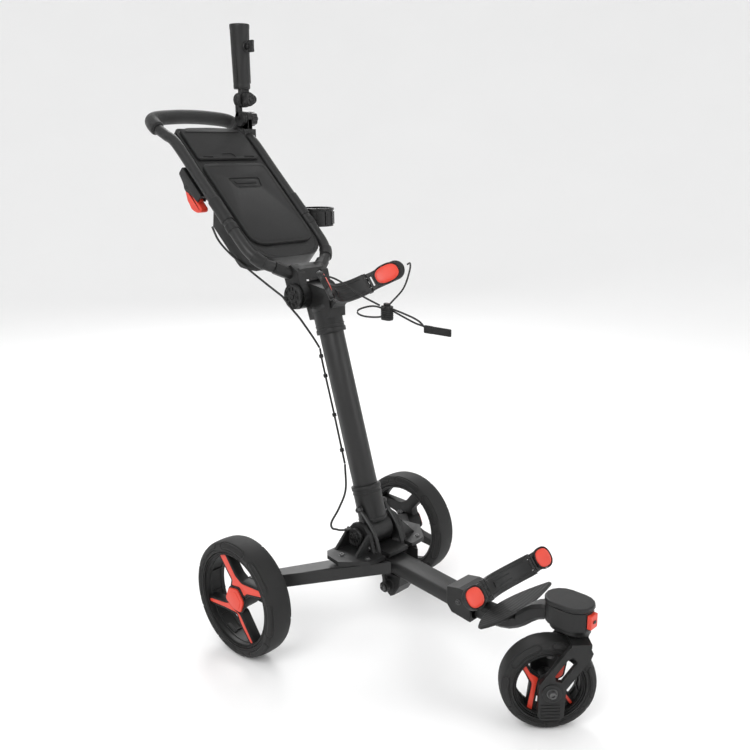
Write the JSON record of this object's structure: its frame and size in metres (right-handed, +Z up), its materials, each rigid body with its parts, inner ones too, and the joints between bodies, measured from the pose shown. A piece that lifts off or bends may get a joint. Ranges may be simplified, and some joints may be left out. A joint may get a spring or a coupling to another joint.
{
  "type": "golf bag push cart",
  "caption": "Folding push cart for a golf bag: hinged post and handle, bag brackets, storage console, cup and umbrella holders, swivelling front wheel and rear wheels.",
  "frame": {"origin": "on the floor, under the centre of the overall box", "axes": "+X to the left-hand side of a person behind the handle facing the front wheel, +Y back towards the handle, +Z up; the front wheel is at -Y"},
  "size_m": [0.548, 1.0979, 1.252],
  "materials": {
    "tyre": "matte",
    "wheel_plastic": "satin moulded plastic",
    "satin_plastic": "fine moulded texture",
    "powder_coat": "satin powder coat",
    "axle_steel": "dark plated",
    "red_plastic": "satin moulded plastic",
    "foam": "matte foam",
    "cradle_rubber": "ribbed matte rubber",
    "cord": "woven or sheathed cord"
  },
  "bodies": {
    "chassis": {"front_beam": "powder_coat", "nose_arm": "satin_plastic", "caster_housing": "satin_plastic", "housing_cap": "satin_plastic", "hub_tower": "satin_plastic", "fold_pin": "satin_plastic", "rear_arm_right": "powder_coat", "rear_arm_left": "powder_coat", "axle_right": "axle_steel", "axle_left": "axle_steel", "link_bracket": "satin_plastic", "bracket_saddle": "satin_plastic", "lower_bag_band": "satin_plastic", "bag_cradle": "cradle_rubber", "brake_cable_foot": "cord"},
    "lock_tab": {"caster_lock": "red_plastic"},
    "fork": {"caster_fork": "satin_plastic", "front_axle": "axle_steel"},
    "front_wheel": {"tyre_front": "tyre", "rim_front": "wheel_plastic"},
    "right_wheel": {"tyre_right": "tyre", "rim_right": "wheel_plastic"},
    "left_wheel": {"tyre_left": "tyre", "rim_left": "wheel_plastic"},
    "links": {"link_right": "powder_coat", "link_left": "powder_coat"},
    "upright": {"post": "powder_coat", "post_foot": "satin_plastic", "post_head": "satin_plastic", "upper_bag_band": "satin_plastic", "handle_pin": "satin_plastic", "brake_cable_post": "cord", "brake_cable_joint": "cord", "cord_lock": "satin_plastic", "pull_tab": "cord", "elastic_near": "cord", "elastic_far": "cord", "elastic_pull": "cord"},
    "upper_wing_right": {"upper_bag_wing_right": "satin_plastic"},
    "upper_wing_left": {"upper_bag_wing_left": "satin_plastic"},
    "lower_wing_right": {"lower_bag_wing_right": "satin_plastic"},
    "lower_wing_left": {"lower_bag_wing_left": "satin_plastic"},
    "handle": {"handle_yoke": "satin_plastic", "rail_right": "powder_coat", "rail_left": "powder_coat", "foam_grip": "foam", "console_box": "satin_plastic", "brake_housing": "satin_plastic", "cup_mount": "satin_plastic", "cup_holder": "satin_plastic", "umbrella_clamp": "satin_plastic", "brake_cable_handle": "cord"},
    "lid": {"console_lid": "satin_plastic"},
    "card_flap": {"card_cover": "satin_plastic"},
    "lever": {"brake_lever": "red_plastic"},
    "umbrella_swivel": {"umbrella_link": "satin_plastic"},
    "umbrella_sleeve": {"umbrella_tube": "satin_plastic"},
    "lower_knob": {"lower_joint_knob": "satin_plastic"},
    "upper_knob": {"upper_joint_knob": "satin_plastic"},
    "sleeve_screw": {"tube_screw": "satin_plastic"}
  },
  "joints": [
    {"name": "post_fold", "type": "hinge", "parent": "chassis", "child": "upright", "pos_m": [0, -0.02955, 0.222], "axis": [1, 0, 0], "range_deg": [0, 80], "deforming": ["brake_cable_foot", "elastic_pull", "pull_tab"]},
    {"name": "link_swing", "type": "hinge", "parent": "chassis", "child": "links", "pos_m": [0, -0.08855, 0.125], "axis": [1, 0, 0], "range_deg": [0, 17]},
    {"name": "handle_fold", "type": "hinge", "parent": "upright", "child": "handle", "pos_m": [0, 0.14645, 0.69], "axis": [1, 0, 0], "range_deg": [-130, 20], "deforming": ["brake_cable_joint"]},
    {"name": "caster_swivel", "type": "hinge", "parent": "chassis", "child": "fork", "pos_m": [0, -0.50755, 0.17], "axis": [0, 0, 1], "continuous": true},
    {"name": "front_wheel_spin", "type": "hinge", "parent": "fork", "child": "front_wheel", "pos_m": [-0.03536, -0.47219, 0.084], "axis": [0.7071, 0.7071, 0], "continuous": true},
    {"name": "right_wheel_spin", "type": "hinge", "parent": "chassis", "child": "right_wheel", "pos_m": [-0.246, 0.09845, 0.12], "axis": [1, 0, 0], "continuous": true},
    {"name": "left_wheel_spin", "type": "hinge", "parent": "chassis", "child": "left_wheel", "pos_m": [0.246, 0.09845, 0.12], "axis": [1, 0, 0], "continuous": true},
    {"name": "upper_wing_right_fold", "type": "hinge", "parent": "upright", "child": "upper_wing_right", "pos_m": [-0.055, 0.03845, 0.7145], "axis": [0, 0.5976, 0.8018], "range_deg": [-44, 35], "deforming": ["elastic_near"]},
    {"name": "upper_wing_left_fold", "type": "hinge", "parent": "upright", "child": "upper_wing_left", "pos_m": [0.055, 0.03845, 0.7145], "axis": [0, 0.5976, 0.8018], "range_deg": [-35, 44], "deforming": ["elastic_far"]},
    {"name": "lower_wing_right_fold", "type": "hinge", "parent": "chassis", "child": "lower_wing_right", "pos_m": [-0.069, -0.36215, 0.2265], "axis": [0, 0.5976, 0.8018], "range_deg": [-5, 60]},
    {"name": "lower_wing_left_fold", "type": "hinge", "parent": "chassis", "child": "lower_wing_left", "pos_m": [0.069, -0.36215, 0.2265], "axis": [0, 0.5976, 0.8018], "range_deg": [-60, 5]},
    {"name": "lid_open", "type": "hinge", "parent": "handle", "child": "lid", "pos_m": [0, 0.22051, 0.78815], "axis": [1, 0, 0], "range_deg": [0, 90]},
    {"name": "card_flap_open", "type": "hinge", "parent": "handle", "child": "card_flap", "pos_m": [0, 0.39925, 0.95717], "axis": [1, 0, 0], "range_deg": [0, 75]},
    {"name": "lever_squeeze", "type": "hinge", "parent": "handle", "child": "lever", "pos_m": [-0.105, 0.39512, 0.9106], "axis": [1, 0, 0], "range_deg": [0, 10]},
    {"name": "umbrella_lower_tilt", "type": "hinge", "parent": "handle", "child": "umbrella_swivel", "pos_m": [0.107, 0.48045, 1.049], "axis": [1, 0, 0], "range_deg": [-45, 45]},
    {"name": "umbrella_upper_tilt", "type": "hinge", "parent": "umbrella_swivel", "child": "umbrella_sleeve", "pos_m": [0.107, 0.48045, 1.09], "axis": [0, 1, 0], "range_deg": [-45, 75]},
    {"name": "lower_knob_turn", "type": "hinge", "parent": "handle", "child": "lower_knob", "pos_m": [0.12, 0.48045, 1.049], "axis": [1, 0, 0], "range_deg": [-180, 90]},
    {"name": "upper_knob_turn", "type": "hinge", "parent": "umbrella_swivel", "child": "upper_knob", "pos_m": [0.107, 0.45845, 1.09], "axis": [0, 1, 0], "range_deg": [-90, 180]},
    {"name": "sleeve_screw_turn", "type": "hinge", "parent": "umbrella_sleeve", "child": "sleeve_screw", "pos_m": [0.107, 0.45245, 1.203], "axis": [0, 1, 0], "range_deg": [-90, 180]},
    {"name": "caster_lock_press", "type": "slide", "parent": "chassis", "child": "lock_tab", "axis": [0, 1, 0], "range_m": [0, 0.001]}
  ],
  "couplings": [
    {"joint": "link_swing", "follows": "post_fold", "ratio": 0.21}
  ]
}
